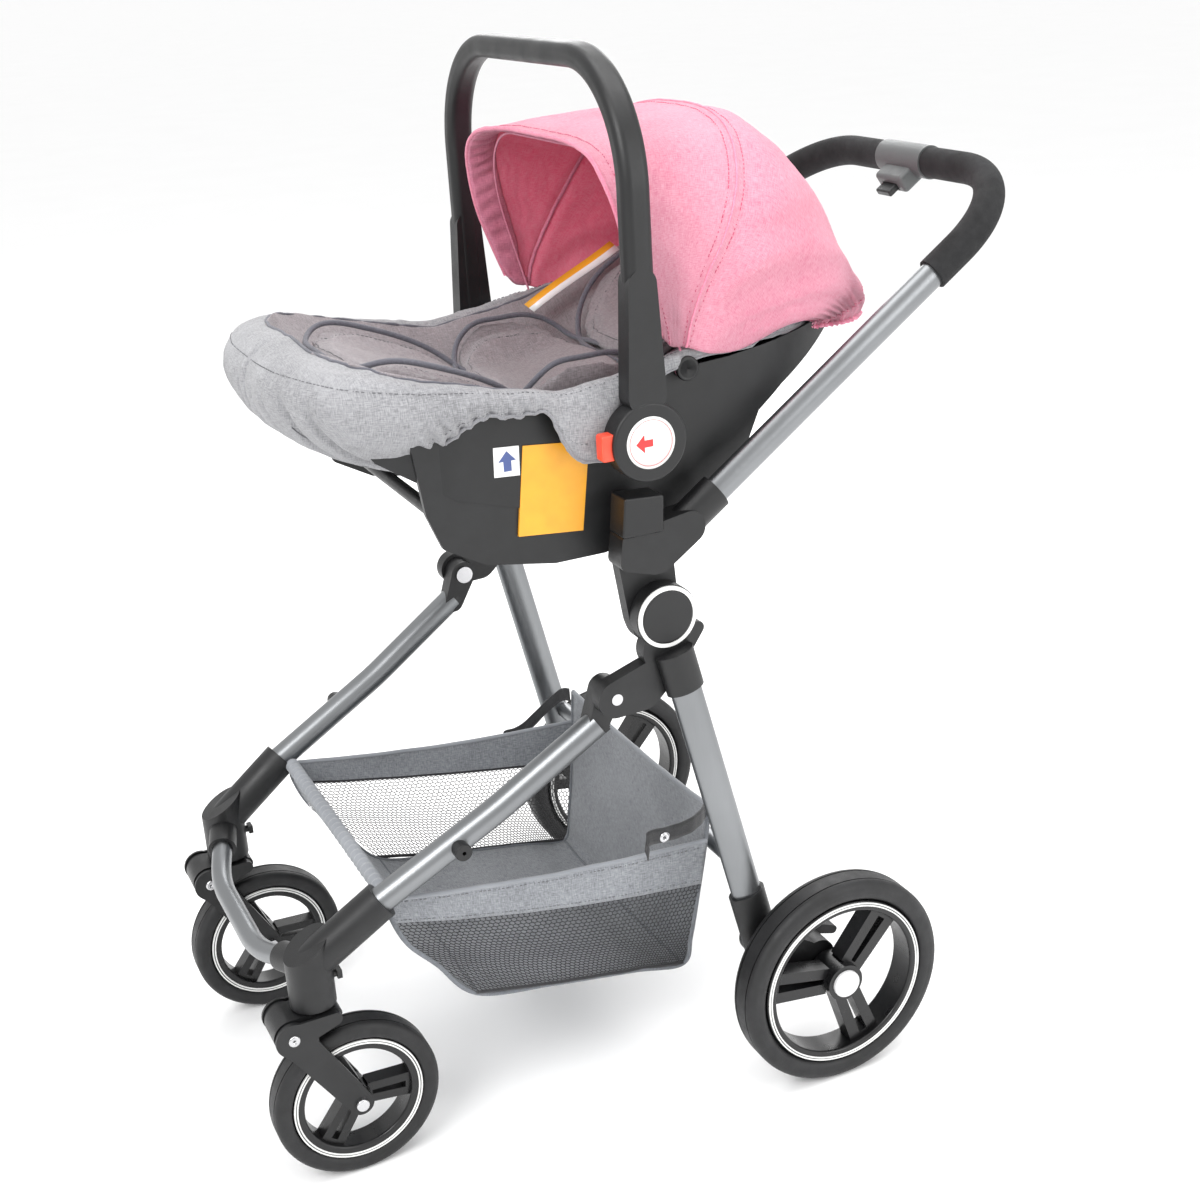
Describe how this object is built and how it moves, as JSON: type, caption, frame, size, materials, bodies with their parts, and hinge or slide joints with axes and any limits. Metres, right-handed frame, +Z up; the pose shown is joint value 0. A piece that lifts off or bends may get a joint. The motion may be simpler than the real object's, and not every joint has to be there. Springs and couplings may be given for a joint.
{
  "type": "baby stroller",
  "caption": "Four-wheeled folding pushchair frame with swivel front wheels, shopping basket and a lift-off infant carrier with canopy and carrying bar.",
  "frame": {"origin": "centre of the bounding box, on the ground", "axes": "+X to the rider's left, -Y to the front, +Z up; the object is symmetric about the plane x = 0"},
  "size_m": [0.616, 0.906, 1.0965],
  "materials": {
    "tyre": "matt black rubber tread",
    "rim": "satin black moulded plastic",
    "hub_silver": "silver white lacquer",
    "frame_metal": "satin anodised aluminium tube",
    "black_plastic": "fine-grained charcoal plastic",
    "grey_plastic": "fine-grained mid grey plastic",
    "foam": "soft black foam",
    "steel": "bright zinc",
    "white_trim": "white trim",
    "red_plastic": "red orange plastic",
    "pad_fabric": "light grey melange polyester",
    "cushion_fabric": "warm dark grey melange polyester",
    "canopy_fabric": "pink melange polyester",
    "basket_fabric": "grey melange polyester with black mesh",
    "webbing": "black woven webbing"
  },
  "bodies": {
    "upper_frame": {"push_tube": "frame_metal", "foam_grips": "foam", "handle_housing": "grey_plastic", "upper_joint_left": "black_plastic", "upper_joint_right": "black_plastic", "seat_adaptor_left": "black_plastic", "seat_adaptor_right": "black_plastic", "hub_pins": "steel"},
    "fold_trigger": {"release_trigger": "black_plastic"},
    "rear_frame": {"hub_bracket_left": "black_plastic", "hub_bracket_right": "black_plastic", "hub_rings": "white_trim", "hub_caps": "black_plastic", "leg_pins": "steel", "rear_leg_left": "frame_metal", "rear_leg_right": "frame_metal", "rear_foot_left": "black_plastic", "rear_foot_right": "black_plastic", "rear_crossbar": "frame_metal", "basket": "basket_fabric", "basket_straps": "webbing"},
    "front_frame": {"leg_knuckle_left": "black_plastic", "leg_knuckle_right": "black_plastic", "front_leg_left": "frame_metal", "front_leg_right": "frame_metal", "front_hub_left": "black_plastic", "front_hub_right": "black_plastic", "front_crossbar": "frame_metal", "leg_studs": "black_plastic"},
    "carrier": {"seat_shell": "black_plastic", "rim_pad": "pad_fabric", "leg_cushion": "cushion_fabric", "seat_cushion": "cushion_fabric", "head_cushion": "cushion_fabric", "harness": "webbing", "canopy": "canopy_fabric"},
    "canopy_front_bow": {"canopy_bow": "steel"},
    "carry_bar": {"carry_handle": "black_plastic"},
    "brake_left": {"brake_pedal_left": "black_plastic"},
    "rear_wheel_left": {"rear_tyre_left": "tyre", "rear_rim_left": "rim", "rear_hub_cap_left": "hub_silver"},
    "caster_left": {"swivel_head_left": "black_plastic"},
    "fork_left": {"fork_left": "black_plastic", "front_axle_left": "steel"},
    "front_wheel_left": {"front_tyre_left": "tyre", "front_rim_left": "rim"},
    "swivel_lock_left": {"swivel_lock_left": "black_plastic"},
    "button_left": {"release_button_left": "red_plastic"},
    "brake_right": {"brake_pedal_right": "black_plastic"},
    "rear_wheel_right": {"rear_tyre_right": "tyre", "rear_rim_right": "rim", "rear_hub_cap_right": "hub_silver"},
    "caster_right": {"swivel_head_right": "black_plastic"},
    "fork_right": {"fork_right": "black_plastic", "front_axle_right": "steel"},
    "front_wheel_right": {"front_tyre_right": "tyre", "front_rim_right": "rim"},
    "swivel_lock_right": {"swivel_lock_right": "black_plastic"},
    "button_right": {"release_button_right": "red_plastic"}
  },
  "joints": [
    {"name": "frame_fold", "type": "hinge", "parent": "upper_frame", "child": "rear_frame", "pos_m": [0, -0.008, 0.558], "axis": [1, 0, 0], "range_deg": [0, 100], "deforming": ["basket"]},
    {"name": "front_leg_fold", "type": "hinge", "parent": "rear_frame", "child": "front_frame", "pos_m": [0, -0.067, 0.482], "axis": [1, 0, 0], "range_deg": [0, 60]},
    {"name": "fold_trigger_squeeze", "type": "slide", "parent": "upper_frame", "child": "fold_trigger", "axis": [0, 0.8171, 0.5764], "range_m": [0, 0.006], "stiffness_N_per_m": 500, "springref_m": -0.004},
    {"name": "carrier_lift", "type": "slide", "parent": "upper_frame", "child": "carrier", "axis": [0, 0, 1], "range_m": [0, 0.3]},
    {"name": "carry_bar_turn", "type": "hinge", "parent": "carrier", "child": "carry_bar", "pos_m": [0, -0.017, 0.738], "axis": [1, 0, 0], "range_deg": [-25, 95]},
    {"name": "canopy_fold", "type": "hinge", "parent": "carrier", "child": "canopy_front_bow", "pos_m": [0, 0.046, 0.792], "axis": [1, 0, 0], "range_deg": [-70, 0], "deforming": ["canopy"]},
    {"name": "brake_left", "type": "hinge", "parent": "rear_frame", "child": "brake_left", "pos_m": [0.236, 0.13, 0.136], "axis": [1, 0, 0], "range_deg": [-18, 0]},
    {"name": "rear_wheel_spin_left", "type": "hinge", "parent": "rear_frame", "child": "rear_wheel_left", "pos_m": [0.285, 0.15, 0.12], "axis": [1, 0, 0], "continuous": true},
    {"name": "caster_swivel_left", "type": "hinge", "parent": "front_frame", "child": "caster_left", "pos_m": [0.172, -0.395, 0.209], "axis": [0, 0, 1], "continuous": true},
    {"name": "suspension_left", "type": "hinge", "parent": "caster_left", "child": "fork_left", "pos_m": [0.172, -0.425, 0.1885], "axis": [1, 0, 0], "range_deg": [0, 6], "stiffness_Nm_per_rad": 30, "springref_deg": -17.19},
    {"name": "front_wheel_spin_left", "type": "hinge", "parent": "fork_left", "child": "front_wheel_left", "pos_m": [0.172, -0.365, 0.088], "axis": [1, 0, 0], "continuous": true},
    {"name": "swivel_lock_left", "type": "slide", "parent": "front_frame", "child": "swivel_lock_left", "axis": [0, 1, 0], "range_m": [0, 0.004]},
    {"name": "button_press_left", "type": "slide", "parent": "carry_bar", "child": "button_left", "axis": [0, 1, 0], "range_m": [0, 0.006], "stiffness_N_per_m": 400, "springref_m": -0.003},
    {"name": "brake_right", "type": "hinge", "parent": "rear_frame", "child": "brake_right", "pos_m": [-0.236, 0.13, 0.136], "axis": [1, 0, 0], "range_deg": [-18, 0]},
    {"name": "rear_wheel_spin_right", "type": "hinge", "parent": "rear_frame", "child": "rear_wheel_right", "pos_m": [-0.285, 0.15, 0.12], "axis": [1, 0, 0], "continuous": true},
    {"name": "caster_swivel_right", "type": "hinge", "parent": "front_frame", "child": "caster_right", "pos_m": [-0.172, -0.395, 0.209], "axis": [0, 0, 1], "continuous": true},
    {"name": "suspension_right", "type": "hinge", "parent": "caster_right", "child": "fork_right", "pos_m": [-0.172, -0.425, 0.1885], "axis": [1, 0, 0], "range_deg": [0, 6], "stiffness_Nm_per_rad": 30, "springref_deg": -17.19},
    {"name": "front_wheel_spin_right", "type": "hinge", "parent": "fork_right", "child": "front_wheel_right", "pos_m": [-0.172, -0.365, 0.088], "axis": [1, 0, 0], "continuous": true},
    {"name": "swivel_lock_right", "type": "slide", "parent": "front_frame", "child": "swivel_lock_right", "axis": [0, 1, 0], "range_m": [0, 0.004]},
    {"name": "button_press_right", "type": "slide", "parent": "carry_bar", "child": "button_right", "axis": [0, 1, 0], "range_m": [0, 0.006], "stiffness_N_per_m": 400, "springref_m": -0.003}
  ],
  "couplings": [
    {"joint": "front_leg_fold", "follows": "frame_fold", "ratio": 0.6}
  ]
}
